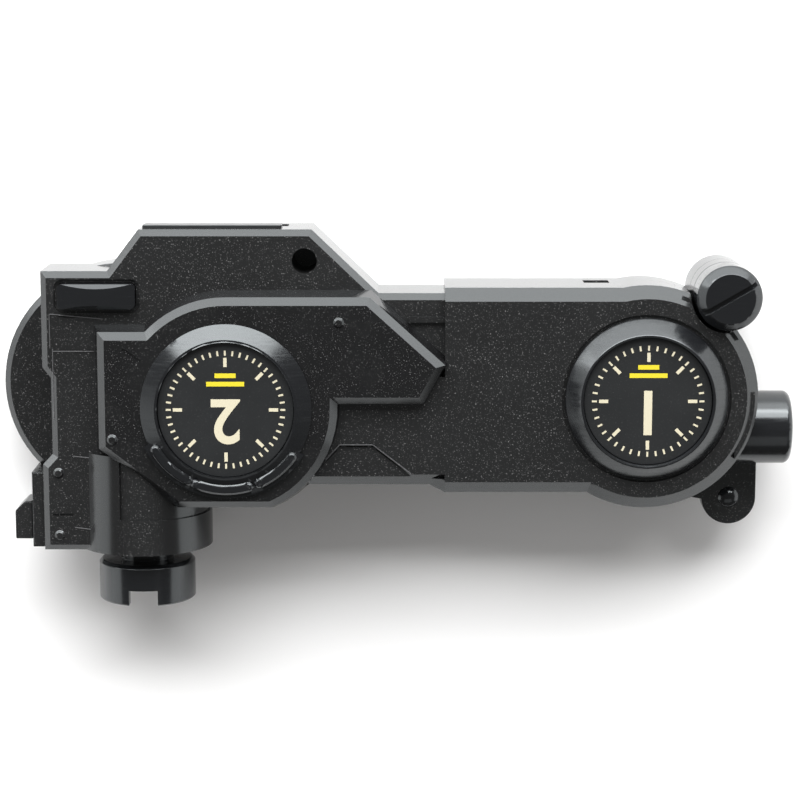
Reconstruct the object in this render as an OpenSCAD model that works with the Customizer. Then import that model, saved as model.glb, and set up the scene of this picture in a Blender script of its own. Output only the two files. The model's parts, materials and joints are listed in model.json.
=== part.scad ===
// Two-speed hand launcher for spinning tops.
// It lies on its back: X along the arm, Y towards the roof, Z towards the viewer.
// Places are first given from the dial axis and the parting plane of the casing.
// The last lines move the whole part so that it stands on Z = 0 about its own centre.

/* [Casing] */
// Distance from the dial axis to the arm's end axis, along X
arm_x = 100.5; // [99:0.5:105]
// Height of the arm's end axis over the dial axis
arm_y = 1.7; // [0:0.1:3]
// Distance from the dial axis back to the launch head's axis
head_x = 21.1; // [20.4:0.1:21.6]
// Half thickness of the arm
arm_half = 13; // [12.5:0.1:15]
// Half thickness of the body
body_half = 10; // [9.8:0.1:11.5]
// Wall thickness of the casing
wall = 2; // [1.6:0.1:2.2]
// Bevel along the body's edges
bevel = 1.5; // [0.6:0.1:2]
// Bevel along the arm's edges
arm_bevel = 3; // [1:0.1:3.2]
// Radius of the arm's round end
end_r = 27.1; // [26:0.1:29]
// Height of the arm's top edge
arm_top = 28.2; // [27:0.1:30]
// Depth of the arm's bottom edge
arm_bottom = 21.6; // [20.5:0.1:23]
// Reach of the body to the left
body_left = 44.7; // [44:0.1:48]
// Height of the left shoulder
shoulder_y = 32; // [31:0.1:34]
// Height of the roof
roof_y = 42; // [40:0.1:46]
// Depth of the collar's lower end
collar_y = 36.2; // [35:0.1:40]
// Radius of the collar
collar_r = 16.2; // [15.6:0.1:17]
// Radius of the drum behind the body
drum_r = 29.5; // [28.5:0.1:32]

/* [Cover and rings] */
// Height of the raised cover plate over the body
cover_h = 7; // [6:0.1:8.5]
// Radius of the cover's round stretches
cover_r = 26.5; // [25:0.1:27]
// Outer radius of the selector dial
dial_r = 20.4; // [19.5:0.1:21]
// Height of the dial over the cover
dial_h = 2.6; // [2:0.1:4]
// Outer radius of the bezel on the arm's end
bezel_r = 19.5; // [18:0.1:21]
// Height of that bezel over the arm
bezel_h = 4.5; // [3:0.1:5.5]
// Height of the rear bezel, which the part lies on
foot_h = 3.5; // [3:0.1:5]
// Width of the rim of both rings
rim_w = 4.1; // [3:0.1:4.6]

/* [Launch head] */
// Radius of the launch head
head_r = 11.8; // [11:0.1:13]
// Length of the launch head
head_len = 10; // [9:0.1:12]
// Gap between the collar and the head
head_gap = 3.6; // [2:0.1:5]
// Radius of the head's socket
socket_r = 8.5; // [7:0.1:9]
// Depth of that socket
socket_depth = 6; // [4.5:0.1:7]
// Width of the two notches in its rim
notch_w = 7; // [5:0.1:8]
// Height of those notches
notch_h = 3.8; // [2.5:0.1:4.2]
// Radius of the head's shaft
shaft_r = 2.5; // [2:0.1:3]

/* [Controls] */
// Radius of the end button
push_r = 8.9; // [8:0.1:9.2]
// Reach of the end button past the arm's round end
push_out = 9; // [6:0.1:11]
// Travel of the end button
push_travel = 3; // [2:0.1:3]
// Length of the oblong lock button
lock_len = 18.5; // [15:0.1:20]
// Width of the lock button
lock_w = 6; // [5:0.1:6.4]
// Height of the lock button over the body
lock_out = 3; // [2:0.1:4]
// Travel of the lock button
lock_travel = 2; // [1:0.1:2.2]
// Radius of the coin screw's head
coin_r = 7.8; // [7:0.1:8.2]
// Length of the side slider's tab along its rail
slider_len = 9.4; // [7:0.1:10]
// Travel of the side slider
slider_travel = 6; // [3:0.5:7]
// Radius of the blind peg hole near the roof
peg_r = 3; // [2.5:0.1:3.1]

/* [Gears] */
// Teeth of the dial gear and of the arm gear
wheel_teeth = 28; // [28]
// Pitch diameter per tooth that the gears come close to
pitch_len = 1; // [0.98:0.01:1.02]
// Teeth of the crown gear's spur ring
crown_teeth = 16; // [16]
// Teeth of the crown gear's face ring
face_teeth = 30; // [30]
// Teeth of the head pinion
pinion_teeth = 12; // [12]
// Teeth that a ripcord turns
cord_teeth = 16; // [16]
// Play between meshing teeth
backlash = 0.3; // [0.2:0.05:0.4]
// Radius of the gear axles
axle_r = 1.5; // [1.2:0.1:1.7]

/* [Hidden] */
$fn = 64;

// Fits
overrun = 1;
run_gap = 0.05;
press_gap = 0.02;
slide_gap = 0.15;
seat_gap = 0.3;

// Gear train: three idlers fill the distance between the two wheels, and the module follows
train_len = norm([arm_x, arm_y]);
train_dir = atan2(arm_y, arm_x);
teeth_left = 2 * train_len / pitch_len - 2 * wheel_teeth;
idler_teeth = floor(teeth_left / 6);
last_idler_teeth = round(teeth_left / 2 - 2 * idler_teeth);
gear_m = 2 * train_len / (2 * wheel_teeth + 4 * idler_teeth + 2 * last_idler_teeth);
crown_dist = gear_m * (wheel_teeth + crown_teeth) / 2;
crown_y = sqrt(crown_dist * crown_dist - head_x * head_x);
crown_dir = atan2(crown_y, -head_x);
face_m = gear_m;
face_r = face_m * face_teeth / 2;
pinion_r = face_m * pinion_teeth / 2;
last_idler_at = gear_m * (wheel_teeth + last_idler_teeth) / 2;
mid_idler_at = last_idler_at + gear_m * (last_idler_teeth + idler_teeth) / 2;
first_idler_at = mid_idler_at + gear_m * idler_teeth;
idler_places = [first_idler_at, mid_idler_at, last_idler_at];
crown_at = [-head_x, crown_y];
arm_at = [arm_x, arm_y];

// Teeth
flank_steps = 3;
pressure = 20;
root_share = 1.25;
tip_share = 1;
soft_tip_share = 0.8;
face_play = 0.7;
face_sink = 0.25;
face_tip_share = 0.7;
face_root_share = 1.1;
web_share = 0.5;

// Phases in which the teeth mesh
wheel_phase = 0;
last_idler_phase = mesh_phase(wheel_phase, wheel_teeth, last_idler_teeth, train_dir);
mid_idler_phase = mesh_phase(last_idler_phase, last_idler_teeth, idler_teeth, train_dir);
first_idler_phase = mesh_phase(mid_idler_phase, idler_teeth, idler_teeth, train_dir);
arm_phase = mesh_phase(first_idler_phase, idler_teeth, wheel_teeth, train_dir);
crown_phase = mesh_phase(wheel_phase, wheel_teeth, crown_teeth, crown_dir);

// Levels, from the parting plane
gear_room = 0.5;
spur_low_share = 0.2;
spur_top = body_half - wall - gear_room;
spur_low = spur_low_share * spur_top;
spur_h = spur_top - spur_low;
cord_low = -4.8;
cord_h = 4.2;
face_w = 3.4;
hub_r = 4;

// Body outline
shoulder_x = 28.7;
roof_left = 21.1;
roof_right = 20.3;
neck_x = 36.3;
neck_y = 26.7;
arm_step_x = 52.2;
arm_low_x = 48.5;
arm_low = 19.7;
arm_under_x = 16.5;
body_low = 19.3;
arm_under_y = 7;
side_notch = 2;
side_notch_top = 8.7;
side_notch_low = 15.1;
side_notch_run = 2.6;
column_out = 0.4;
column_left = body_left + column_out;
neck_lap = 4;
body_outline = [
    [-column_left, -collar_y],
    [-head_x, -collar_y],
    [-head_x, -body_low],
    [arm_step_x + neck_lap, -body_low],
    [arm_step_x + neck_lap, neck_y],
    [neck_x, neck_y],
    [roof_right, roof_y],
    [-roof_left, roof_y],
    [-shoulder_x, shoulder_y],
    [-body_left, shoulder_y],
    [-body_left, side_notch_top],
    [side_notch - body_left, side_notch_top - side_notch_run],
    [side_notch - body_left, side_notch_run - side_notch_low],
    [-column_left, -side_notch_low]
];
arm_outline = [
    [arm_under_x, -arm_low],
    [arm_low_x, -arm_low],
    [arm_step_x, -arm_bottom],
    [arm_x, -arm_bottom],
    [arm_x, arm_top],
    [arm_step_x, arm_top],
    [arm_step_x, arm_under_y],
    [arm_under_x, arm_under_y]
];

// Convex pieces that make up those outlines, each run on into its neighbours
piece_lap = 4;
roof_foot = beyond([-roof_left, roof_y], [-shoulder_x, shoulder_y], piece_lap);
neck_foot = beyond([roof_right, roof_y], [neck_x, neck_y], piece_lap);
notch_head = beyond(body_outline[10], body_outline[11], piece_lap);
notch_foot = beyond(body_outline[13], body_outline[12], piece_lap);
heel_head = beyond([arm_step_x, -arm_bottom], [arm_low_x, -arm_low], piece_lap);
body_pieces = [
    [
        [roof_foot[0], 0],
        [neck_foot[0], 0],
        neck_foot,
        [roof_right, roof_y],
        [-roof_left, roof_y],
        roof_foot
    ],
    [
        notch_head,
        [0, notch_head[1]],
        [0, shoulder_y],
        [-body_left, shoulder_y],
        [-body_left, side_notch_top]
    ],
    [
        [-column_left, -collar_y],
        [-head_x, -collar_y],
        [-head_x, notch_foot[1]],
        notch_foot,
        [-column_left, -side_notch_low]
    ],
    [
        [side_notch - body_left, -body_low],
        [arm_step_x + neck_lap, -body_low],
        [arm_step_x + neck_lap, neck_y],
        [side_notch - body_left, neck_y]
    ]
];
arm_pieces = [
    [[arm_step_x, -arm_bottom], [arm_x, -arm_bottom], [arm_x, arm_top], [arm_step_x, arm_top]],
    [
        [arm_under_x, -arm_low],
        [arm_step_x + neck_lap, -arm_low],
        [arm_step_x + neck_lap, arm_under_y],
        [arm_under_x, arm_under_y]
    ],
    [heel_head, [arm_step_x, -arm_bottom], [arm_x, -arm_bottom], [arm_x, heel_head[1]]]
];

// Which edges of each piece lie on the outside and are bevelled, counted from its first point
body_bevelled = [[2, 3, 4], [2, 3, 4], [0, 3, 4], [0, 2, 3]];
arm_bevelled = [[0, 2], [0], [0, 1]];

// Drum behind the body
drum_at = [-26.2, 3.2];
drum_front = -2;
drum_bevel = 1.5;
drum_back = -arm_half - foot_h;
crown_room_gap = 0.9;
crown_room_r = face_r + face_w / 2 + crown_room_gap;
lid_h = 2.5;
lid_lip = 2.5;
lid_r = crown_room_r + lid_lip;
lid_boss_r = 3.2;
face_room = 1.5;
face_low = drum_back + lid_h + face_room;

// Cover plate
cover_left = 30.6;
cover_shelf_y = 18.2;
cover_top_x = 34.2;
cover_tip = [52.2, 10.2];
cover_heel = [47, 0.9];
cover_bottom = 24.3;
cover_corner_x = 12;
cover_corner_y = 10;
cover_draft = 1.1;
cover_bevel = 1.8;
cover_wall = 2;
cover_top = body_half + cover_h;
arc_steps = 10;
cover_outline = concat(
    [[-cover_left, cover_shelf_y], [-cover_left, -cover_corner_y], [-cover_corner_x, -cover_bottom]],
    arc([0, 0], cover_r, -asin(cover_bottom / cover_r), asin(cover_heel[1] / cover_r), arc_steps),
    [cover_heel, cover_tip, [cover_top_x, cover_r]],
    arc([0, 0], cover_r, 90, 180 - asin(cover_shelf_y / cover_r), arc_steps)
);
mark_from = [-24.6, 14];
mark_to = [-20.4, 11];
mark_w = 0.7;
mark_h = 0.3;
rivet_r = 1.3;
rivet_h = 0.5;
cover_rivets = [[-27.2, -7.5], [26.9, 20.6]];
body_rivets = [[-41.2, -17], [-41.2, -32.4]];

// Dial, bezels and badges
dial_inner = dial_r - rim_w;
dial_rim = 0.6;
dial_spigot_r = 16.9;
dial_flange_r = 18.2;
dial_flange_h = 1;
badge_drop = 1.2;
badge_h = 0.6;
badge_gap = 0.1;
rib_in = 1.1;
rib_r = dial_r - rib_in;
rib_w = 2.4;
rib_h = 2.3;
rib_edge = 0.5;
lip_h = 1;
lip_edge = 1;
lip_r = rib_r + rib_w / 2 + lip_edge;
rib_angles = [[-150, -118], [-112, -74], [-66, -36]];
lip_from = -155;
lip_to = -31;
bezel_inner = bezel_r - rim_w;
bezel_top = arm_half + bezel_h;
bezel_groove_w = 0.8;
bezel_groove_h = 0.8;

dial_low = cover_top + slide_gap;
dial_top = cover_top + dial_h;
dial_seat = dial_top - badge_drop - badge_h;
flange_top = cover_top - cover_wall - seat_gap;

// Collar and head
band_top = 27.6;
band_step = 0.6;
wrap_x = 25.9;
collar_top = 12;
collar_wall = 2.6;
bush_r = 4.5;
bush_len = 4;
bush_low = -collar_y;
bush_high = -16;
bush_gap = 0.02;
head_top = -collar_y - head_gap;
head_bevel = 0.8;
shaft_seat = 3;
neck_r = 6.5;
pinion_y = crown_y - face_r;

// Controls
lock_in = 13.6;
lock_drop = 5.8;
lock_at = [lock_in - body_left, shoulder_y - lock_drop];
lock_corner = 1.2;
lock_flange = 0.7;
lock_flange_h = 1.5;
lock_flange_low = body_half - wall - slide_gap - lock_flange_h;
lock_post_r = 1.2;
lock_crown_r = 34;
lock_well = 1;
lock_well_h = 0.6;
lock_coil_r = 2.1;
lock_curls = 5;
push_y = -7.3;
push_wall = 2.2;
push_lug_w = 8;
push_lug_h = 1.5;
push_lug_l = 1.2;
push_edge = 1.6;
push_block_y = 10.5;
push_seat_l = 1.5;
push_coil_r = 4.6;
push_curls = 6;
push_seat_r = 5.8;
push_tip_x = arm_x + end_r + push_out;
push_len = 16;
push_back_x = push_tip_x - push_len;
push_stop_x = push_back_x + push_lug_l;
push_seat_x = push_back_x - push_travel - slide_gap;
wire_r = 0.4;
rings_a_curl = 8;
wire_sides = 6;
coin_dir = 52.2;
coin_reach = 4;
coin_at = arm_at + (end_r + coin_reach) * [cos(coin_dir), sin(coin_dir)];
coin_h = 10;
coin_bevel = 1.9;
coin_slot_w = 1.1;
coin_slot_h = 1.2;
coin_slot_dir = 30;
coin_shank_r = 3;
coin_out = 4.3;
coin_top = arm_half + coin_out;
coin_gap = 0.9;
coin_rise = 2;
ear_dir = -50.8;
ear_reach = 8.5;
ear_at = arm_at + (end_r + ear_reach) * [cos(ear_dir), sin(ear_dir)];
ear_r = 6.7;
ear_h = 4.5;
ear_inset = 0.4;
ear_rivet_r = 2.7;
ear_rivet_h = 1.35;
ear_shank_r = 1.6;
ear_face = -4.5;
ear_rise = 10.1;
ear_top = ear_at[1] + ear_rise;
ear_root_x = 8;
ear_outline = [
    [ear_at[0] + ear_r, ear_at[1]],
    [ear_at[0] + ear_r, ear_top],
    [arm_x + ear_root_x, ear_top],
    [arm_x + ear_root_x, arm_y - end_r + ear_inset],
    [ear_at[0] - ear_r, ear_at[1] - ear_inset]
];
rail_x = 3.2;
rail_low = 36;
rail_half = 6.5;
rail_lip = 1.4;
rail_base = 1.2;
slider_low = rail_low - rail_lip - slide_gap;
rail_high = slider_low - slider_len - slider_travel - slide_gap - rail_lip;
slider_half = 4.5;
slider_out = 4.4;
slider_cut = 2.4;
slider_neck = 2.6;
roof_rail_left = 20.4;
roof_rail_right = 13;
roof_rail_low = 0.6;
roof_rail_w = 5;
roof_rail_h = 0.8;
roof_rail_deep = 1.2;
peg_in = 1.7;
peg_drop = 7.4;
peg_at = [roof_right - peg_in, roof_y - peg_drop];
peg_wall = 0.9;
peg_floor = 5;

// Ripcord channels
cord_slot_in = 8.2;
cord_slot_w = 6.2;
cord_slot_h = 5.2;
cord_guide = 1.2;
dial_slot_x = cord_slot_in;
arm_slot_x = arm_x - cord_slot_in - cord_slot_w;

// Screws and bosses
boss_r = 3;
axle_boss_r = 3;
screw_r = 1.3;
screw_head_r = 2.5;
screw_head_h = 1.6;
screw_grip = 6;
roof_screw_in = 5.8;
body_screws = [[-14, roof_y - roof_screw_in], [29.5, 27.2], [-40.8, -31]];
arm_screw_in = 5.7;
arm_screw_x = along_train((first_idler_at + mid_idler_at) / 2)[0];
end_screw_dirs = [77.3, -61.9];
arm_screws = concat(
    [for (side = [arm_screw_in - arm_bottom, arm_top - arm_screw_in]) [arm_screw_x, side]],
    [for (a = end_screw_dirs) arm_at + (end_r - arm_screw_in) * [cos(a), sin(a)]]
);

// Small face marks
groove_w = 0.5;
groove_h = 0.4;
panel_low = 0.6;
panel_points = [[17, -20.8], [27.2, -10.1], [34.7, -10.1], [48.6, -20.8]];
face_grooves = [
    [-40.2, 21, -31, 21],
    [-40.2, 12.6, -32.4, 12.6],
    [-42.8, -27.5, -38.4, -27.5]
];
neck_rib_from = 43.6;
neck_rib_y = 19.9;
neck_rib_w = 1.3;
neck_rib_h = 1;

// Whole size, which the last lines centre
left_end = drum_at[0] - drum_r;
right_end = push_tip_x;
top_end = roof_y + roof_rail_h;
bottom_end = head_top - head_len;
centre_shift = [-(left_end + right_end) / 2, -(top_end + bottom_end) / 2, -drum_back];

shell_black = "#1f2023";
cover_black = "#232428";
gloss_black = "#2a2c31";
gear_white = "#d8d4c8";
gear_grey = "#8d9096";
steel = "#b9bcc0";
brass = "#b99a55";
badge_black = "#121214";

// Points on a circle, both ends counted
function arc(centre, r, from, to, steps) =
    [for (i = [0:steps]) let (a = from + (to - from) * i / steps) centre + r * [cos(a), sin(a)]];

// Outline moved inwards by d, its points going anticlockwise
function left_of(p, q) = let (v = q - p) [-v[1], v[0]] / norm(v);
function inset(points, d) =
    let (n = len(points))
    [for (i = [0:n - 1])
        let (
            before = left_of(points[(i + n - 1) % n], points[i]),
            after = left_of(points[i], points[(i + 1) % n])
        )
        points[i] + d * (before + after) / (1 + before * after)];

function ring_at(points, z) = [for (p = points) [p[0], p[1], z]];

// Point past q on the line from p
function beyond(p, q, d) = q + d * unit(q - p);

// Wedge that bevels one edge of a convex outline
module edge_wedge(from, to, edge) {
    run = to - from;
    translate(from) rotate([0, 0, atan2(run[1], run[0])])
        translate([-overrun, 0, 0]) rotate([90, 0, 90]) linear_extrude(norm(run) + 2 * overrun)
            polygon([[-overrun, -edge - overrun], [edge + overrun, overrun], [-overrun, overrun]]);
}

// Convex prism on the parting plane, bevelled along those edges of its front face that are numbered
module bevel_prism(points, high, edge, outer) {
    n = len(points);
    difference() {
        prism(points, 0, high);
        translate([0, 0, high]) for (i = outer) edge_wedge(points[i], points[(i + 1) % n], edge);
    }
}

// Flat moulding with a bevel round its front face and a draft on its sides
module slab(points, low, high, edge, draft) {
    n = len(points);
    corners = concat(
        ring_at(inset(points, -draft), low),
        ring_at(points, high - edge),
        ring_at(inset(points, edge), high)
    );
    sides = [for (k = [0, 1], i = [0:n - 1]) let (j = (i + 1) % n)
        [k * n + i, (k + 1) * n + i, (k + 1) * n + j, k * n + j]];
    bottom = [[for (i = [0:n - 1]) i]];
    top = [[for (i = [0:n - 1]) 3 * n - 1 - i]];
    polyhedron(corners, concat(bottom, sides, top));
}

// Straight prism between two levels
module prism(points, low, high) {
    translate([0, 0, low]) linear_extrude(high - low) polygon(points);
}

// Round bar along Z between two levels
module bar(at, r, low, high) {
    translate([at[0], at[1], low]) cylinder(r = r, h = high - low);
}

// Round disc with a bevel round its front face
module bevel_disc(at, r, low, high, edge) {
    bar(at, r, low, high - edge);
    translate([at[0], at[1], high - edge]) cylinder(r1 = r, r2 = r - edge, h = edge);
}

// Round bar along Y on the head's axis
module head_bar(r, low, high) {
    translate([-head_x, high, 0]) rotate([90, 0, 0]) cylinder(r = r, h = high - low);
}

// Round bar along X on the end button's axis
module push_bar(r, low, high) {
    translate([low, push_y, 0]) rotate([0, 90, 0]) cylinder(r = r, h = high - low);
}

// Box from its lower corner to its upper corner
module box(low, high) {
    translate(low) cube(high - low);
}

// Everything in front of the parting plane
module front_side() {
    reach = 2 * (arm_x + end_r);
    box([-reach, -reach, 0], [reach, reach, reach]);
}

module turned_to_rear() {
    mirror([0, 0, 1]) children();
}

// Dome standing on a face
module dome(at, r, h, low) {
    ball = (r * r + h * h) / (2 * h);
    translate([at[0], at[1], low])
        intersection() {
            translate([0, 0, h - ball]) sphere(r = ball);
            cylinder(r = r + h, h = 2 * h);
        }
}

// Involute gear outline with a tooth centred on the X axis
function involute(a) = tan(a) * 180 / PI - a;
function flank_angle(half, base_r, r) = half + involute(pressure) - involute(acos(min(1, base_r / r)));
function gear_points(teeth, m, tip = tip_share) =
    let (
        r = m * teeth / 2,
        base_r = r * cos(pressure),
        root_r = r - root_share * m,
        tip_r = r + tip * m,
        half = (PI * m - backlash) / 4 / r * 180 / PI,
        start_r = max(base_r, root_r),
        steps = [for (k = [0:flank_steps]) start_r + (tip_r - start_r) * k / flank_steps],
        radii = concat([root_r], steps),
        wide = concat([flank_angle(half, base_r, start_r)], [for (s = steps) flank_angle(half, base_r, s)]),
        last = len(radii) - 1
    )
    [for (t = [0:teeth - 1], side = [-1, 1], k = [0:last])
        let (n = side < 0 ? k : last - k, a = 360 * t / teeth + side * wide[n])
        radii[n] * [cos(a), sin(a)]];

// Phase of a gear that meshes with one of a known phase, seen along a direction
function mesh_phase(phase, teeth, next_teeth, dir) =
    dir + 180 + (dir - phase) * teeth / next_teeth + 180 / next_teeth;

function along_train(d) = d * [cos(train_dir), sin(train_dir)];

module spur(at, teeth, m, low, high, phase) {
    translate([at[0], at[1], low])
        rotate([0, 0, phase])
            linear_extrude(high - low) polygon(gear_points(teeth, m));
}

// Unbroken coil of round wire along Z, its ends straight
function coil_path(r, len, curls) =
    let (
        lead = 2 * wire_r,
        rise = len - 2 * wire_r - 2 * lead,
        n = curls * rings_a_curl
    )
    concat(
        [[r, 0, wire_r]],
        [for (i = [0:n]) let (a = 360 * i / rings_a_curl)
            [r * cos(a), r * sin(a), wire_r + lead + rise * i / n]],
        [[r, 0, len - wire_r]]
    );
function unit(v) = v / norm(v);
module coil(r, len, curls) {
    path = coil_path(r, len, curls);
    n = len(path);
    points = [for (i = [0:n - 1], s = [0:wire_sides - 1])
        let (
            ahead = unit(path[min(i + 1, n - 1)] - path[max(i - 1, 0)]),
            out = unit([path[i][0], path[i][1], 0]),
            side = unit(cross(ahead, out)),
            a = 360 * s / wire_sides
        )
        path[i] + wire_r * (cos(a) * unit(cross(side, ahead)) + sin(a) * side)];
    skin = [for (i = [0:n - 2], s = [0:wire_sides - 1])
        let (
            t = (s + 1) % wire_sides,
            low = i * wire_sides,
            high = low + wire_sides
        )
        each [[low + s, high + t, high + s], [low + s, low + t, high + t]]];
    foot = [for (s = [1:wire_sides - 2]) [0, s + 1, s]];
    head = [for (s = [1:wire_sides - 2]) [0, s, s + 1] + (n - 1) * wire_sides * [1, 1, 1]];
    gaps = [for (i = [0:n - 1], j = [i + rings_a_curl - 1:1:n - 1]) norm(path[i] - path[j]) - 2 * wire_r];
    echo(least_coil_gap = min(gaps));
    polyhedron(points, concat(skin, foot, head));
}

// Oblong with round ends along X
module oblong(at, len, half, r, low, high) {
    translate([at[0], at[1], low])
        linear_extrude(high - low) {
            square([len, 2 * (half - r)], center = true);
            square([len - 2 * r, 2 * half], center = true);
            for (x = [-1, 1], y = [-1, 1]) translate([x * (len / 2 - r), y * (half - r)]) circle(r = r);
        }
}

// Raised collar round the head's axis, with the step of its lower band
module collar() {
    difference() {
        head_bar(collar_r, -collar_y, -collar_top);
        difference() {
            box(
                [-wrap_x, -band_top, -collar_r - overrun],
                [collar_r, -collar_top + overrun, collar_r + overrun]
            );
            head_bar(collar_r - band_step, -collar_y, -collar_top + 2 * overrun);
        }
    }
}

// Outside of one half of the casing
module half_outside() {
    for (i = [0:len(body_pieces) - 1]) {
        bevel_prism(body_pieces[i], body_half, bevel, body_bevelled[i]);
    }
    for (i = [0:len(arm_pieces) - 1]) {
        bevel_prism(arm_pieces[i], arm_half, arm_bevel, arm_bevelled[i]);
    }
    bevel_disc(arm_at, end_r, 0, arm_half, arm_bevel);
    intersection() {
        collar();
        front_side();
    }
}

// Room inside one half of the casing
module half_inside() {
    prism(inset(body_outline, wall), -overrun, body_half - wall);
    prism(inset(arm_outline, wall), -overrun, arm_half - wall);
    bar(arm_at, end_r - wall, -overrun, arm_half - wall);
    head_bar(collar_r - collar_wall, -collar_y + bush_len, -collar_top - wall);
}

// Seats, bosses and guides that both halves have
module half_bosses() {
    for (p = body_screws) bar(p, boss_r, 0, body_half - wall / 2);
    for (p = arm_screws) bar(p, boss_r, 0, arm_half - wall / 2);
    bar(peg_at, peg_r + peg_wall, 0, body_half - wall / 2);
    intersection() {
        union() {
            head_bar(bush_r + wall, -collar_y, -collar_y + bush_len);
            head_bar(bush_r + wall, bush_high, bush_high + bush_len);
            box(
                [-head_x - bush_r, bush_high, 0],
                [-head_x + bush_r, bush_high + bush_len, collar_r - wall]
            );
        }
        front_side();
    }
    intersection() {
        box(
            [push_stop_x + slide_gap, push_y - push_block_y, 0],
            [arm_x + end_r, push_y + push_block_y, arm_half - wall / 2]
        );
        bar(arm_at, end_r - wall / 2, 0, arm_half);
    }
    box([push_seat_x - push_seat_l, push_y - push_seat_r, 0],
        [push_seat_x, push_y + push_seat_r, arm_half - wall / 2]);
}

// Holes that pass through both halves
module shared_cuts() {
    bar(peg_at, peg_r, -peg_floor, body_half + overrun);
    head_bar(bush_r + bush_gap, -collar_y - overrun, -collar_y + bush_len + overrun);
    head_bar(bush_r + bush_gap, bush_high - overrun, bush_high + bush_len + overrun);
    push_bar(push_r + slide_gap, push_seat_x, push_tip_x);
}

// Sloped wall of the sunk panel on the arm
module panel_slope(from, to) {
    run = to - from;
    translate([from[0], from[1], arm_half]) rotate([0, 0, atan2(run[1], run[0])])
        translate([-overrun, 0, 0]) rotate([90, 0, 90]) linear_extrude(norm(run) + 2 * overrun)
            polygon([
                [-overrun, -panel_low],
                [0, -panel_low],
                [panel_low + overrun, overrun],
                [-overrun, overrun]
            ]);
}

module front_case() {
    color(shell_black) difference() {
        union() {
            difference() {
                half_outside();
                half_inside();
            }
            half_bosses();
            bar(arm_at, axle_boss_r, spur_top + seat_gap, arm_half - wall / 2);
            for (d = idler_places) {
                bar(along_train(d), axle_boss_r, spur_top + seat_gap, arm_half - wall / 2);
            }
            intersection() {
                bar(coin_at, coin_r + coin_gap + wall, 0, arm_half - wall / 2);
                bar(arm_at, end_r - wall / 2, 0, arm_half);
            }
            for (p = body_rivets) bevel_disc(p, rivet_r, body_half - rivet_h, body_half + rivet_h, rivet_h);
            box([neck_rib_from, neck_rib_y, body_half - wall / 2],
                [arm_step_x + wall, neck_rib_y + neck_rib_w, body_half + neck_rib_h]);
        }
        shared_cuts();
        bar(coin_at, coin_r + coin_gap, -overrun, arm_half + overrun);
        oblong(
            lock_at, lock_len + 2 * slide_gap, lock_w / 2 + slide_gap, lock_corner + slide_gap,
            0, body_half + overrun
        );
        oblong(
            lock_at, lock_len + 2 * lock_well, lock_w / 2 + lock_well, lock_corner + lock_well,
            body_half - lock_well_h, body_half + overrun
        );
        box([-roof_rail_left, roof_y - roof_rail_deep, roof_rail_low],
            [roof_rail_right, roof_y + overrun, roof_rail_low + roof_rail_w]);
        bar([0, 0], axle_r + press_gap, 0, body_half + overrun);
        bar(crown_at, axle_r + press_gap, 0, body_half + overrun);
        for (p = concat([arm_at], [for (d = idler_places) along_train(d)]))
            bar(p, axle_r + press_gap, 0, arm_half - wall / 2);
        for (p = concat(body_screws, arm_screws)) bar(p, screw_r + press_gap, -overrun, screw_grip);
        difference() {
            bar(arm_at, bezel_r + bezel_groove_w, arm_half - bezel_groove_h, arm_half + overrun);
            bar(arm_at, bezel_r, 0, arm_half + 2 * overrun);
        }
        prism(panel_points, arm_half - panel_low, arm_half + overrun);
        for (i = [0:2]) panel_slope(panel_points[i], panel_points[i + 1]);
        for (g = face_grooves)
            box(
                [g[0], g[1], body_half - groove_h],
                [g[2] + groove_w, g[3] + groove_w, body_half + overrun]
            );
    }
}

module drum() {
    bar(drum_at, drum_r, drum_back + drum_bevel, drum_front - drum_bevel);
    translate([drum_at[0], drum_at[1], drum_front - drum_bevel])
        cylinder(r1 = drum_r, r2 = drum_r - drum_bevel, h = drum_bevel);
    translate([drum_at[0], drum_at[1], drum_back])
        cylinder(r1 = drum_r - drum_bevel, r2 = drum_r, h = drum_bevel);
}

// Ear under the arm's end
module ear() {
    prism(ear_outline, ear_face - ear_h, ear_face);
    bar(ear_at, ear_r, ear_face - ear_h, ear_face);
}

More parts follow.
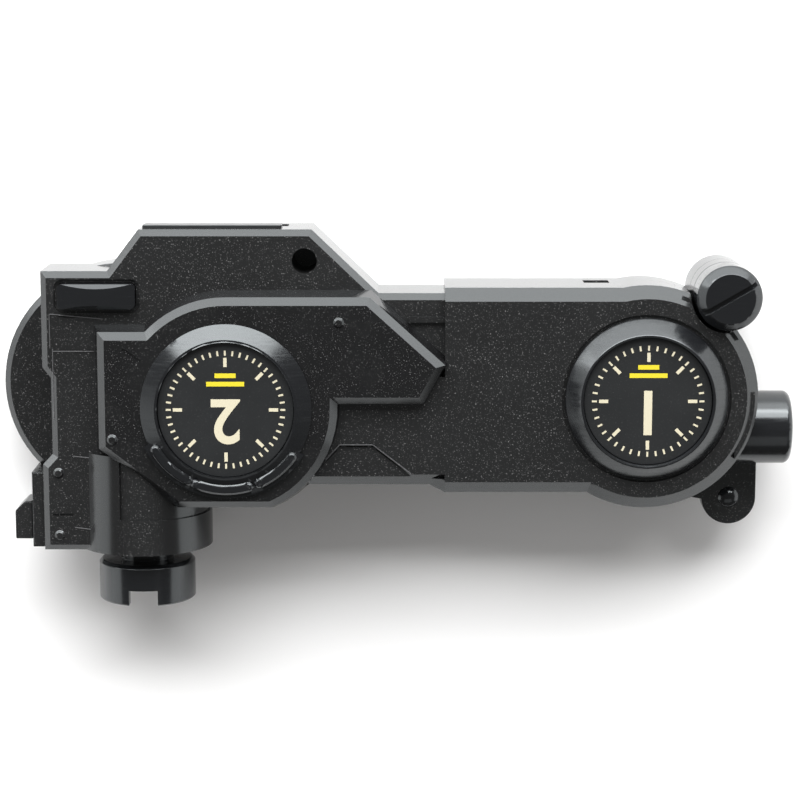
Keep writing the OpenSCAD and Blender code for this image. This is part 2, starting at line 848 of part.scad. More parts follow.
module rear_case() {
    color(shell_black) difference() {
        union() {
            difference() {
                union() {
                    turned_to_rear() half_outside();
                    drum();
                    ear();
                    turned_to_rear() bevel_disc(coin_at, coin_r, 0, arm_half - coin_rise, bevel);
                }
                turned_to_rear() half_inside();
                bar(crown_at, crown_room_r, drum_back - overrun, 0);
            }
            turned_to_rear() half_bosses();
            bar(lock_at, lock_post_r, wall / 2 - body_half, lock_flange_low - lock_travel - slide_gap);
            bar([0, 0], axle_boss_r, wall / 2 - body_half, cord_low - seat_gap);
            bar(arm_at, axle_boss_r, wall / 2 - arm_half, cord_low - seat_gap);
            for (d = idler_places) {
                bar(along_train(d), axle_boss_r, wall / 2 - arm_half, spur_low - seat_gap);
            }
            box([dial_slot_x + cord_slot_w, wall / 2 - body_low, wall / 2 - body_half],
                [dial_slot_x + cord_slot_w + cord_guide, neck_y, 0]);
            box([arm_slot_x - cord_guide, wall / 2 - arm_bottom, wall / 2 - arm_half],
                [arm_slot_x, arm_top - wall / 2, 0]);
        }
        shared_cuts();
        bar(crown_at, lid_r + press_gap, drum_back - overrun, drum_back + lid_h);
        for (x = [dial_slot_x, arm_slot_x])
            box([x, -arm_bottom - overrun, -cord_slot_h], [x + cord_slot_w, roof_y + overrun, overrun]);
        bar(coin_at, coin_shank_r + run_gap, -arm_half, overrun);
        bar(ear_at, ear_shank_r + press_gap, ear_face - ear_h - overrun, ear_face + overrun);
        bar([0, 0], axle_r + press_gap, wall / 2 - body_half, 0);
        for (p = concat([arm_at], [for (d = idler_places) along_train(d)]))
            bar(p, axle_r + press_gap, wall / 2 - arm_half, spur_low);
        for (p = body_screws) screw(p, -body_half, press_gap);
        for (p = arm_screws) screw(p, -arm_half, press_gap);
    }
}

// Casing screw with its head sunk into the rear face
module screw(at, face, gap) {
    bar(at, screw_r + gap, face, screw_grip);
    bar(at, screw_head_r + gap, face - (gap > 0 ? overrun : 0), face + screw_head_h);
}

module case_screws() {
    color(steel) {
        for (p = body_screws) screw(p, -body_half, 0);
        for (p = arm_screws) screw(p, -arm_half, 0);
    }
}

module drum_cover() {
    color(shell_black) difference() {
        union() {
            bar(crown_at, lid_r, drum_back, drum_back + lid_h);
            bar(crown_at, lid_boss_r, drum_back, face_low - seat_gap);
        }
        bar(crown_at, axle_r + press_gap, drum_back + lid_h / 2, 0);
    }
}

module front_cover() {
    color(cover_black) difference() {
        union() {
            difference() {
                slab(cover_outline, body_half, cover_top, cover_bevel, cover_draft);
                prism(inset(cover_outline, cover_wall), body_half - overrun, cover_top - cover_wall);
            }
            for (p = cover_rivets) {
                bevel_disc(p, rivet_r, cover_top - rivet_h, cover_top + rivet_h, rivet_h);
            }
        }
        prism(arm_outline, body_half - overrun, arm_half);
        head_bar(collar_r, -collar_y - overrun, -collar_top);
        bar([0, 0], dial_spigot_r + slide_gap, body_half, cover_top + overrun);
        translate([mark_from[0], mark_from[1], cover_top - mark_h])
            rotate([0, 0, atan2(mark_to[1] - mark_from[1], mark_to[0] - mark_from[0])])
                cube([norm(mark_to - mark_from), mark_w, mark_h + overrun]);
    }
}

// Turned ring with a sloping rim and a seat for its badge
module rim_profile(outer, inner, low, edge, high, seat) {
    rotate_extrude() polygon([
        [0, low],
        [outer, low],
        [outer, low + edge],
        [inner + edge, high],
        [inner, high],
        [inner, seat],
        [0, seat]
    ]);
}

module dial_arc(inner, outer, from, to, low, high) {
    rotate([0, 0, from])
        rotate_extrude(angle = to - from) translate([inner, low]) square([outer - inner, high - low]);
}

// Finger rib with bevelled edges and round ends
module dial_rib(from, to, low, high) {
    inner = rib_r - rib_w / 2;
    outer = rib_r + rib_w / 2;
    rotate([0, 0, from])
        rotate_extrude(angle = to - from) polygon([
            [inner, low],
            [outer, low],
            [outer, high - rib_edge],
            [outer - rib_edge, high],
            [inner + rib_edge, high],
            [inner, high - rib_edge]
        ]);
    for (end = [from, to]) {
        bevel_disc(rib_r * [cos(end), sin(end)], rib_w / 2 - press_gap, low, high, rib_edge);
    }
}

module selector_dial() {
    color(gloss_black) {
        rim_profile(dial_r, dial_inner, dial_low, dial_rim, dial_top, dial_seat);
        bar([0, 0], dial_spigot_r, flange_top - dial_flange_h, dial_seat);
        bar([0, 0], dial_flange_r, flange_top - dial_flange_h, flange_top);
        dial_arc(dial_inner, lip_r, lip_from, lip_to, dial_low, dial_low + lip_h);
        for (a = rib_angles) dial_rib(a[0], a[1], dial_low + lip_h / 2, dial_low + rib_h);
    }
}

module dial_badge() {
    color(badge_black) bar([0, 0], dial_inner - badge_gap, dial_seat, dial_seat + badge_h);
}

module arm_bezel() {
    color(gloss_black) translate([arm_x, arm_y, 0])
        rim_profile(bezel_r, bezel_inner, arm_half, dial_rim, bezel_top, bezel_top - badge_drop - badge_h);
}

module bezel_badge() {
    color(badge_black)
        bar(arm_at, bezel_inner - badge_gap, bezel_top - badge_drop - badge_h, bezel_top - badge_drop);
}

module rear_bezel() {
    color(gloss_black) translate([arm_x, arm_y, 0]) turned_to_rear()
        rim_profile(
            bezel_r, bezel_inner, arm_half, dial_rim,
            arm_half + foot_h, arm_half + foot_h - badge_drop
        );
}

module roof_rail() {
    color(badge_black)
        box([-roof_rail_left, roof_y - roof_rail_deep, roof_rail_low],
            [roof_rail_right, roof_y + roof_rail_h, roof_rail_low + roof_rail_w]);
}

module lock_button() {
    lock_top = body_half + lock_out;
    color(gloss_black) {
        intersection() {
            oblong(lock_at, lock_len, lock_w / 2, lock_corner, lock_flange_low, lock_top);
            translate([lock_at[0], lock_at[1] + lock_w, lock_top - lock_crown_r])
                rotate([90, 0, 0]) cylinder(r = lock_crown_r, h = 2 * lock_w, $fn = 2 * $fn);
        }
        oblong(
            lock_at, lock_len + 2 * lock_flange, lock_w / 2 + lock_flange, lock_corner + lock_flange,
            lock_flange_low, lock_flange_low + lock_flange_h
        );
    }
}

module lock_spring() {
    low = wall - body_half;
    color(steel)
        translate([lock_at[0], lock_at[1], low])
            coil(lock_coil_r, lock_flange_low - low, lock_curls);
}

module end_button() {
    edge = arc([push_r - push_edge, push_tip_x - push_back_x - push_edge], push_edge, 0, 90, arc_steps);
    color(gloss_black) difference() {
        union() {
            translate([push_back_x, push_y, 0]) rotate([0, 90, 0])
                rotate_extrude()
                    polygon(concat([[0, 0], [push_r, 0]], edge, [[0, push_tip_x - push_back_x]]));
            box([push_back_x, push_y - push_lug_w / 2, -push_r - push_lug_h],
                [push_stop_x, push_y + push_lug_w / 2, push_r + push_lug_h]);
        }
        push_bar(push_r - push_wall, push_back_x - overrun, push_tip_x - push_wall);
    }
}

module end_spring() {
    color(steel) translate([push_seat_x, push_y, 0]) rotate([0, 90, 0])
        coil(push_coil_r, push_tip_x - push_wall - push_seat_x, push_curls);
}

module coin_screw() {
    low = coin_top - coin_h + slide_gap;
    color(gloss_black) difference() {
        union() {
            bevel_disc(coin_at, coin_r, low, coin_top, coin_bevel);
            bar(coin_at, coin_shank_r, coin_rise - arm_half, low + overrun);
        }
        translate([coin_at[0], coin_at[1], coin_top - coin_slot_h])
            rotate([0, 0, coin_slot_dir])
                translate([-coin_r, -coin_slot_w / 2, 0])
                    cube([2 * coin_r, coin_slot_w, coin_slot_h + overrun]);
    }
}

module lock_barrel() {
    color(shell_black) difference() {
        bar(coin_at, coin_r, 0, coin_top - coin_h);
        bar(coin_at, coin_shank_r + run_gap, -overrun, coin_top);
    }
}

module ear_rivet() {
    color(gloss_black) {
        dome(ear_at, ear_rivet_r, ear_rivet_h, ear_face);
        bar(ear_at, ear_shank_r, ear_face - ear_h, ear_face);
    }
}

// Rail on the left edge: a base, a channel for the slider's foot, and two lips over it
module side_rail() {
    face = -column_left - rail_x;
    color(shell_black) difference() {
        box([face, -rail_low, -rail_half], [-column_left, -rail_high, rail_half]);
        box([face + rail_lip / 2, rail_lip - rail_low, -slider_half - slide_gap],
            [-column_left - rail_base, -rail_lip - rail_high, slider_half + slide_gap]);
        box([face - overrun, rail_lip - rail_low, -slider_neck - slide_gap],
            [-column_left - rail_base, -rail_lip - rail_high, slider_neck + slide_gap]);
        bar(drum_at, drum_r + slide_gap, drum_back, drum_front + slide_gap);
    }
}

module side_slider() {
    face = -column_left - rail_x;
    low = -slider_low;
    high = low + slider_len;
    tab_back = face - slide_gap;
    tab_outline = [
        [tab_back - slider_out, low],
        [tab_back, low],
        [tab_back, high],
        [tab_back - slider_out + slider_cut, high],
        [tab_back - slider_out, high - slider_cut]
    ];
    color(shell_black) {
        prism(tab_outline, -slider_half, slider_half);
        box(
            [tab_back - overrun, low, -slider_neck],
            [-column_left - rail_base - slide_gap, high, slider_neck]
        );
        box([face + rail_lip / 2 + slide_gap, low, -slider_half],
            [-column_left - rail_base - slide_gap, high, slider_half]);
    }
}

module launch_head() {
    top = head_len;
    neck = top + head_gap - seat_gap;
    color(gloss_black) difference() {
        translate([-head_x, bottom_end, 0]) rotate([-90, 0, 0])
            rotate_extrude() polygon([
                [0, 0],
                [head_r - head_bevel / 2, 0],
                [head_r, head_bevel / 2],
                [head_r, top - head_bevel],
                [head_r - head_bevel, top],
                [neck_r, top],
                [neck_r, neck],
                [0, neck]
            ]);
        head_bar(socket_r, bottom_end - overrun, bottom_end + socket_depth);
        head_bar(shaft_r + press_gap, head_top - shaft_seat, head_top + head_gap);
        box([-head_x - notch_w / 2, bottom_end - overrun, -head_r - overrun],
            [-head_x + notch_w / 2, bottom_end + notch_h, head_r + overrun]);
    }
}

module head_shaft() {
    color(steel) head_bar(shaft_r, head_top - shaft_seat, pinion_y + face_w / 2 + press_gap);
}

module head_pinion() {
    color(gear_white) difference() {
        translate([-head_x, pinion_y + face_w / 2, 0]) rotate([90, 0, 0])
            linear_extrude(face_w) rotate([0, 0, -90])
                polygon(gear_points(pinion_teeth, face_m, soft_tip_share));
        head_bar(shaft_r + press_gap, pinion_y - face_w, pinion_y + face_w);
    }
}

module head_bushes() {
    color(brass) for (low = [bush_low, bush_high]) difference() {
        head_bar(bush_r, low, low + bush_len);
        head_bar(shaft_r + run_gap, low - overrun, low + bush_len + overrun);
    }
}

// Ring of straight teeth on the crown gear's face
module face_ring() {
    half = (PI * face_m / 2 - face_play) / 2;
    tip = half - face_tip_share * face_m * tan(pressure);
    root = half + face_root_share * face_m * tan(pressure);
    tooth = [
        [-root, -face_root_share * face_m],
        [root, -face_root_share * face_m],
        [tip, face_tip_share * face_m],
        [-tip, face_tip_share * face_m]
    ];
    for (t = [0:face_teeth - 1])
        rotate([0, 0, -90 + 360 * (t + 1 / 2) / face_teeth])
            translate([face_r - face_w / 2, 0, -pinion_r])
                rotate([90, 0, 90]) linear_extrude(face_w) polygon(tooth);
}

module crown_gear() {
    disc_top = -pinion_r - face_root_share * face_m + face_sink;
    color(gear_white) difference() {
        union() {
            bar(crown_at, face_r + face_w / 2, face_low, disc_top);
            translate([crown_at[0], crown_at[1], 0]) face_ring();
            bar(crown_at, hub_r, face_low, spur_low);
            spur(crown_at, crown_teeth, gear_m, spur_low, spur_top, crown_phase);
        }
        bar(crown_at, axle_r + run_gap, face_low - overrun, spur_top + overrun);
    }
}

// Wheel with a second ring of teeth for a ripcord
module cord_wheel(at, phase) {
    color(gear_grey) difference() {
        union() {
            spur(at, wheel_teeth, gear_m, spur_low, spur_top, phase);
            bar(at, hub_r, cord_low, spur_low);
            spur(at, cord_teeth, gear_m, cord_low, cord_low + cord_h, 0);
        }
        bar(at, axle_r + run_gap, cord_low - overrun, spur_top + overrun);
    }
}

module dial_gear() {
    cord_wheel([0, 0], wheel_phase);
}

module arm_gear() {
    cord_wheel(arm_at, arm_phase);
}

// Idler with a thin web between hub and rim
module idler(at, teeth, phase) {
    rim_r = gear_m * (teeth / 2 - 2 * root_share);
    color(gear_white) difference() {
        spur(at, teeth, gear_m, spur_low, spur_top, phase);
        bar(at, axle_r + run_gap, spur_low - overrun, spur_top + overrun);
        difference() {
            bar(at, rim_r, spur_low + web_share * spur_h, spur_top + overrun);
            bar(at, hub_r, spur_low, spur_top + 2 * overrun);
        }
    }
}

module idler_gear_1() {
    idler(along_train(first_idler_at), idler_teeth, first_idler_phase);
}

module idler_gear_2() {
    idler(along_train(mid_idler_at), idler_teeth, mid_idler_phase);
}

module idler_gear_3() {
    idler(along_train(last_idler_at), last_idler_teeth, last_idler_phase);
}

module crown_axle() {
    color(steel) bar(crown_at, axle_r, drum_back + lid_h / 2, body_half);
}

module dial_axle() {
    color(steel) bar([0, 0], axle_r, wall / 2 - body_half, body_half);
}

module arm_axle() {
    color(steel) bar(arm_at, axle_r, wall / 2 - arm_half, arm_half - wall / 2);
}

module idler_axles() {
    color(steel) {
        for (d = idler_places) {
            bar(along_train(d), axle_r, wall / 2 - arm_half, arm_half - wall / 2);
        }
    }
}

module placed() {
    translate(centre_shift) children();
}

placed() front_case();
placed() rear_case();
placed() drum_cover();
placed() front_cover();
placed() selector_dial();
placed() dial_badge();
placed() arm_bezel();
placed() bezel_badge();
placed() rear_bezel();
placed() roof_rail();
placed() lock_button();
placed() lock_spring();
placed() end_button();
placed() end_spring();
placed() coin_screw();
placed() lock_barrel();
placed() ear_rivet();
placed() side_rail();
placed() side_slider();
placed() launch_head();
placed() head_shaft();
placed() head_pinion();
placed() head_bushes();
placed() crown_gear();
placed() dial_gear();
placed() idler_gear_1();
placed() idler_gear_2();
placed() idler_gear_3();
placed() arm_gear();
placed() crown_axle();
placed() dial_axle();
placed() arm_axle();
placed() idler_axles();
placed() case_screws();
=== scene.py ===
# %% [markdown]
# # A launcher for spinning tops, dressed for a studio picture
# The construction comes in as a ready frame of named parts, each riding on a body that can move.
# This lesson gives the parts their soft moulded edges, their plastics and their small prints, and then
# sets up a white table, lamps and a camera.

import json
import math

import bpy
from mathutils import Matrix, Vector

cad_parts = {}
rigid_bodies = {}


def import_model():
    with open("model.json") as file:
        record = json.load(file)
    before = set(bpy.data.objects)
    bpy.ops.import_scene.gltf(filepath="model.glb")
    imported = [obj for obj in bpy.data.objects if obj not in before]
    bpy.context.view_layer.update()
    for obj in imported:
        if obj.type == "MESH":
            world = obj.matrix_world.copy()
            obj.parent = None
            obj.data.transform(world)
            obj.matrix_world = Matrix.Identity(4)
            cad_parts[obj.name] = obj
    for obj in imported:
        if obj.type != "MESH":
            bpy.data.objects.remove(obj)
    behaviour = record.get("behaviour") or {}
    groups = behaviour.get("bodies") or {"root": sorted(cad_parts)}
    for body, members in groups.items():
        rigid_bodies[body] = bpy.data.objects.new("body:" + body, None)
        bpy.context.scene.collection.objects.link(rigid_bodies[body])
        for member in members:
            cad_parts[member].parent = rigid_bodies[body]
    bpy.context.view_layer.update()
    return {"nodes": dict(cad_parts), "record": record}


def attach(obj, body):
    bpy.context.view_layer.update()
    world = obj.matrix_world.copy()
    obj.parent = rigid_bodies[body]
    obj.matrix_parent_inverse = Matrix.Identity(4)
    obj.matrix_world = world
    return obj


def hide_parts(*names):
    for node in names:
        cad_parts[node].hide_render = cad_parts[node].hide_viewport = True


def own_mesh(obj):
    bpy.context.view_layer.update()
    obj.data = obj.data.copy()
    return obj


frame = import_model()
behaviour = frame["record"]["behaviour"]
body_of_node = {n: b for b, names in behaviour["bodies"].items() for n in names}
slot_of_node = {s["node"]: s["material_slot"] for s in frame["record"]["subparts"]}
joint_called = {joint["name"]: joint for joint in behaviour["joints"]}

# %% [markdown]
# ## The camera first
# The picture was taken from almost straight above, leaning nine and a half degrees towards the roof of the
# launcher, so the upper side walls show as thin bands. A camera that looks at a point is easiest to set up
# with a direction and a distance: the lens then follows from the width that the frame has to hold.

# %% Camera
MM = 0.001
LOOK_AT = Vector((0.97 * MM, 4.985 * MM, 29.5 * MM))
LEAN = math.radians(9.49)
AWAY = 571 * MM
VIEW_WIDTH = 191.56 * MM

camera_data = bpy.data.cameras.new("photo_camera")
camera = bpy.data.objects.new("photo_camera", camera_data)
bpy.context.scene.collection.objects.link(camera)
camera.location = LOOK_AT + AWAY * Vector((0, math.sin(LEAN), math.cos(LEAN)))
camera.rotation_euler = (-LEAN, 0, 0)
camera_data.angle = 2 * math.atan(VIEW_WIDTH / 2 / AWAY)
camera_data.clip_start = 0.01
bpy.context.scene.camera = camera
bpy.context.scene.view_settings.view_transform = "Standard"
print("camera angle:", round(math.degrees(camera_data.angle), 2), "degrees")

# %% [markdown]
# ## Finishes
# Nearly all that shows is black plastic, and black plastic is told apart by its surface. The flat faces of
# the casing have the fine grain of a spark-eroded mould, which catches pale dust. The rings, buttons and the
# launch head were polished in the mould and mirror the lamps. Each finish is a small node tree on Object
# coordinates, so the grain has a real size in millimetres and stays in place when a part moves. A few
# helpers keep those trees short: one starts a material, and each of the others adds one or two nodes.

# %% Helpers that build a finish
def start_finish(name, colour, roughness):
    """A new material with its shader, its own coordinates and a short way to add and join nodes."""
    material = bpy.data.materials.new(name)
    material.use_nodes = True
    tree = material.node_tree
    shader = tree.nodes["Principled BSDF"]
    shader.inputs["Roughness"].default_value = roughness
    shader.inputs["Base Color"].default_value = (*colour, 1)
    place = tree.nodes.new("ShaderNodeTexCoord").outputs["Object"]

    def add(kind, **values):
        node = tree.nodes.new(kind)
        for key, value in values.items():
            if hasattr(node, key):
                setattr(node, key, value)
            else:
                node.inputs[key.replace("_", " ")].default_value = value
        return node

    def join(source, node, socket):
        tree.links.new(source, node.inputs[socket])

    return material, shader, place, add, join


def speckle(place, add, join, size_mm, low, high):
    """A grey map of grains of about that size: black below low, white above high."""
    noise = add("ShaderNodeTexNoise", Scale=1 / (size_mm * MM), Detail=2.0, Roughness=0.6)
    join(place, noise, "Vector")
    ramp = add("ShaderNodeValToRGB")
    ramp.color_ramp.elements[0].position = low
    ramp.color_ramp.elements[1].position = high
    join(noise.outputs["Fac"], ramp, "Fac")
    return ramp.outputs["Color"]


def two_tone(shader, add, join, mask, colour, other):
    """Give the shader one colour where the mask is black and the other where it is white."""
    tint = add("ShaderNodeMix", data_type="RGBA")
    tint.inputs["A"].default_value = (*colour, 1)
    tint.inputs["B"].default_value = (*other, 1)
    join(mask, tint, "Factor")
    join(tint.outputs["Result"], shader, "Base Color")


def roughness_between(add, join, mask, low, high):
    """A roughness that is low where the mask is black and high where it is white."""
    worn = add("ShaderNodeMapRange", To_Min=low, To_Max=high)
    join(mask, worn, "Value")
    return worn.outputs["Result"]


def fine_relief(shader, add, join, height, strength, deep_mm):
    """Heights too small for the mesh, which only the light sees."""
    bump = add("ShaderNodeBump", Strength=strength, Distance=deep_mm * MM)
    join(height, bump, "Height")
    join(bump.outputs["Normal"], shader, "Normal")


print("finish helpers ready")

# %% [markdown]
# ## Black plastic, grained on its flats and bright on its bevels
# A casing like this is moulded in one go, but the tool maker treats its faces differently: the wide flats
# get a spark-eroded grain that hides scratches, while the narrow bevels stay as the cutter left them and
# shine. One material can do both. The Normal output of the coordinates gives each face's direction on the
# piece itself, and its Z tells a flat from a bevel. On the flats, grains of a third of a millimetre carry a
# little pale dust, and a slow change of sheen shows where hands have rubbed.

# %% Grained plastic for the casing
SHINE = 0.62
COOL = (0.92, 0.98, 1.0, 1)
HAND_PATCH_MM = 14
HAND_RUB = 0.03


def start_black_plastic(name, colour, roughness):
    """A finish that mirrors its surroundings strongly and a little coolly."""
    parts = start_finish(name, colour, roughness)
    shader = parts[1]
    shader.inputs["Specular IOR Level"].default_value = SHINE
    shader.inputs["Specular Tint"].default_value = COOL
    return parts


def flat_mask(add, join, from_z=0.93, to_z=0.995):
    """White on faces that look straight to the front or the back, black on bevels and side walls."""
    facing = add("ShaderNodeTexCoord")
    parts = add("ShaderNodeSeparateXYZ")
    join(facing.outputs["Normal"], parts, "Vector")
    level = add("ShaderNodeMath", operation="ABSOLUTE")
    join(parts.outputs["Z"], level, 0)
    mask = add("ShaderNodeMapRange", From_Min=from_z, From_Max=to_z)
    join(level.outputs["Value"], mask, "Value")
    return mask.outputs["Result"]


def grained_plastic(name, colour, dust, roughness, bevel_roughness, grain_mm=0.32, bump=0.1):
    """Black plastic with grey dust in the grain of its flats, and with smooth bevels."""
    material, shader, place, add, join = start_black_plastic(name, colour, roughness)
    flat = flat_mask(add, join)
    grains = speckle(place, add, join, grain_mm, low=0.62, high=0.76)
    on_flats = add("ShaderNodeMath", operation="MULTIPLY")
    join(grains, on_flats, 0)
    join(flat, on_flats, 1)
    flat_grains = on_flats.outputs["Value"]
    two_tone(shader, add, join, flat_grains, colour, (dust, dust, dust))
    patches = speckle(place, add, join, HAND_PATCH_MM, low=0.3, high=0.7)
    rubbed = roughness_between(add, join, patches, roughness - HAND_RUB, roughness + HAND_RUB)
    gloss = add("ShaderNodeMix", A=bevel_roughness)
    join(flat, gloss, "Factor")
    join(rubbed, gloss, "B")
    join(gloss.outputs["Result"], shader, "Roughness")
    fine_relief(shader, add, join, flat_grains, strength=bump, deep_mm=0.05)
    return material


casing_black = grained_plastic(
    "casing_black", (0.009, 0.009, 0.0092), dust=0.26, roughness=0.32, bevel_roughness=0.2)
cover_black = grained_plastic(
    "cover_black", (0.006, 0.006, 0.0063), dust=0.14, roughness=0.27, bevel_roughness=0.16)
badge_black = grained_plastic(
    "badge_black", (0.004, 0.004, 0.0045), dust=0.03, roughness=0.5, bevel_roughness=0.3,
    grain_mm=0.3, bump=0.03)
print("grained plastics:", casing_black.name, cover_black.name, badge_black.name)

# %% [markdown]
# ## Polished black plastic
# The rings, buttons and the head are shinier. Their detail is faint: long shallow ripples from the mould,
# and hairline rubbing marks that change only the roughness, as fingers and pockets leave them. A Mapping
# node that squeezes the noise along one axis turns round grains into such hairlines.

# %% Polished plastic for the rings and buttons
HAIRLINE_TURN = (0.2, 0.1, 0.6)
HAIRLINE_SQUEEZE = (1, 14, 1)
HAIRLINE_WEAR = 0.12
RIPPLE_MM = 5


def polished_plastic(name, colour, roughness):
    """Black plastic that mirrors, with faint rubbing marks and ripples."""
    material, shader, place, add, join = start_black_plastic(name, colour, roughness)
    stretch = add("ShaderNodeMapping", Rotation=HAIRLINE_TURN, Scale=HAIRLINE_SQUEEZE)
    join(place, stretch, "Vector")
    rubs = speckle(stretch.outputs["Vector"], add, join, size_mm=6, low=0.45, high=0.8)
    worn = roughness_between(add, join, rubs, roughness, roughness + HAIRLINE_WEAR)
    join(worn, shader, "Roughness")
    ripple = add("ShaderNodeTexNoise", Scale=1 / (RIPPLE_MM * MM), Detail=1.0)
    join(place, ripple, "Vector")
    fine_relief(shader, add, join, ripple.outputs["Fac"], strength=0.02, deep_mm=0.1)
    return material


ring_gloss = polished_plastic("ring_gloss", (0.008, 0.0085, 0.0095), roughness=0.16)
print("polished plastic:", ring_gloss.name)

# %% [markdown]
# ## Metal and gear plastic
# Steel pins and screws, brass bushes and pale acetal gears are hidden inside, but they show when the
# casing is taken off. Turned metal has fine rings, which a stretched noise gives, and acetal is slightly
# waxy with a soft mottling.

# %% Finishes for the inner parts
LATHE_SQUEEZE = (1, 1, 22)
LATHE_SHINE = 0.08
LATHE_WEAR = 0.1


def turned_metal(name, colour, roughness):
    """Metal with the fine rings that a lathe leaves."""
    material, shader, place, add, join = start_finish(name, colour, roughness)
    shader.inputs["Metallic"].default_value = 1.0
    stretch = add("ShaderNodeMapping", Scale=LATHE_SQUEEZE)
    join(place, stretch, "Vector")
    rings = speckle(stretch.outputs["Vector"], add, join, size_mm=4, low=0.3, high=0.7)
    worn = roughness_between(add, join, rings, roughness - LATHE_SHINE, roughness + LATHE_WEAR)
    join(worn, shader, "Roughness")
    return material


def waxy_plastic(name, colour, shade):
    """Gear plastic that is softly mottled with a darker shade."""
    material, shader, place, add, join = start_finish(name, colour, roughness=0.4)
    mottle = speckle(place, add, join, size_mm=3, low=0.35, high=0.7)
    two_tone(shader, add, join, mottle, colour, shade)
    return material


pin_steel = turned_metal("pin_steel", (0.58, 0.59, 0.6), roughness=0.32)
bush_brass = turned_metal("bush_brass", (0.72, 0.56, 0.26), roughness=0.34)
gear_pale = waxy_plastic("gear_pale", (0.72, 0.7, 0.63), shade=(0.64, 0.62, 0.55))
gear_grey = waxy_plastic("gear_grey", (0.34, 0.35, 0.37), shade=(0.28, 0.29, 0.31))
print("inner finishes:", pin_steel.name, bush_brass.name, gear_pale.name, gear_grey.name)

# %% [markdown]
# ## Every part gets its finish
# The record of the construction names a slot for each part, such as shell or steel. One table from slots to
# finishes then dresses all the parts in a loop, and no part can be forgotten.

# %% Finishes by slot
finish_of_slot = {
    "shell": casing_black, "cover": cover_black, "gloss": ring_gloss, "badge": badge_black,
    "gear_light": gear_pale, "gear_grey": gear_grey, "steel": pin_steel, "brass": bush_brass,
}
for name, node in frame["nodes"].items():
    node.data.materials.clear()
    node.data.materials.append(finish_of_slot[slot_of_node[name]])
print("finishes given to", len(frame["nodes"]), "parts")

# %% [markdown]
# ## Working on a copy
# A construction part's own mesh stays as it is, because the motion and the checks rely on it. What the
# picture needs is done on a copy, which then rides on the same body and stands for the part. The meshes of
# the construction are loose triangles, so a copy is welded first: only then does an edge join two faces.

# %% Helpers that copy a part
WELD = 0.002 * MM


def select_only(piece):
    """Select this object alone and make it the active one."""
    bpy.ops.object.select_all(action="DESELECT")
    piece.select_set(True)
    bpy.context.view_layer.objects.active = piece


def welded_copy(node_name, copy_name):
    """A copy of a construction part with its doubled points merged, left in edit mode."""
    select_only(frame["nodes"][node_name])
    bpy.ops.object.duplicate()
    piece = bpy.context.active_object
    piece.name = copy_name
    for key in list(piece.keys()):
        del piece[key]
    bpy.ops.object.mode_set(mode="EDIT")
    bpy.ops.mesh.select_all(action="SELECT")
    bpy.ops.mesh.remove_doubles(threshold=WELD)
    return piece


def stand_for(piece, node_name):
    """Let a copy ride where its part rides, and show it in place of that part."""
    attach(piece, body_of_node[node_name])
    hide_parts(node_name)


print("copy helpers ready")

# %% [markdown]
# ## A rim that is filled afresh
# The cover sits with its rim on the casing. That rim is a flat band between an outer and an inner edge. In
# the construction's mesh a face of it is folded over and would show as a dark corner, so the copy gets a new
# one: the faces at the rim's level are taken off, which leaves two open edges, and Fill closes the band
# between them.

# %% Fill a rim
RIM_SLACK = 0.02 * MM


def fill_rim(piece, rim):
    """Take off the faces that lie flat at the rim's level and fill between the edges that are left."""
    bpy.ops.object.mode_set(mode="OBJECT")
    for part in (piece.data.vertices, piece.data.edges, piece.data.polygons):
        for item in part:
            item.select = False
    for face in piece.data.polygons:
        face.select = max(piece.data.vertices[v].co.z for v in face.vertices) < rim + RIM_SLACK
    bpy.ops.object.mode_set(mode="EDIT")
    bpy.ops.mesh.select_mode(type="FACE")
    bpy.ops.mesh.delete(type="FACE")
    bpy.ops.mesh.select_mode(type="EDGE")
    bpy.ops.mesh.select_all(action="DESELECT")
    bpy.ops.mesh.select_non_manifold()
    bpy.ops.mesh.fill(use_beauty=True)
    bpy.ops.mesh.select_all(action="SELECT")
    bpy.ops.mesh.normals_make_consistent(inside=False)


print("rim helper ready")

# %% [markdown]
# ## Moulded edges
# No moulded edge is sharp: each has a small round that catches a line of light, and that line is what makes
# black plastic readable. Rounding by hand would take a selection for each part. Instead the sharp edges are
# found by their angle and get a bevel weight, and a Bevel modifier rounds whatever has a weight. Weighted
# normals then keep the flats between the rounds evenly lit.

# %% Round the edges of a copy
SHARP = math.radians(20)
FLAT_ENOUGH = math.radians(0.2)
ROUND_STEPS = 2


def weigh_sharp_edges(piece, above=None):
    """Give sharp edges a bevel weight, and none to those that reach below a level where one is given."""
    bpy.ops.mesh.select_all(action="DESELECT")
    bpy.ops.mesh.select_mode(type="EDGE")
    bpy.ops.mesh.edges_select_sharp(sharpness=SHARP)
    bpy.ops.transform.edge_bevelweight(value=1)
    bpy.ops.object.mode_set(mode="OBJECT")
    if above is not None:
        weights = piece.data.attributes["bevel_weight_edge"].data
        for edge in piece.data.edges:
            if min(piece.data.vertices[v].co.z for v in edge.vertices) < above:
                weights[edge.index].value = 0


def round_weighed_edges(piece, width_mm):
    """Round the edges that have a weight, and smooth the shading without dulling the flats."""
    bevel = piece.modifiers.new("round_edges", "BEVEL")
    bevel.width = width_mm * MM
    bevel.segments = ROUND_STEPS
    bevel.limit_method = "WEIGHT"
    bevel.use_clamp_overlap = True
    bpy.ops.object.modifier_apply(modifier=bevel.name)
    bpy.ops.object.shade_smooth_by_angle(angle=SHARP)
    even = piece.modifiers.new("even_flats", "WEIGHTED_NORMAL")
    even.keep_sharp = True
    bpy.ops.object.modifier_apply(modifier=even.name)


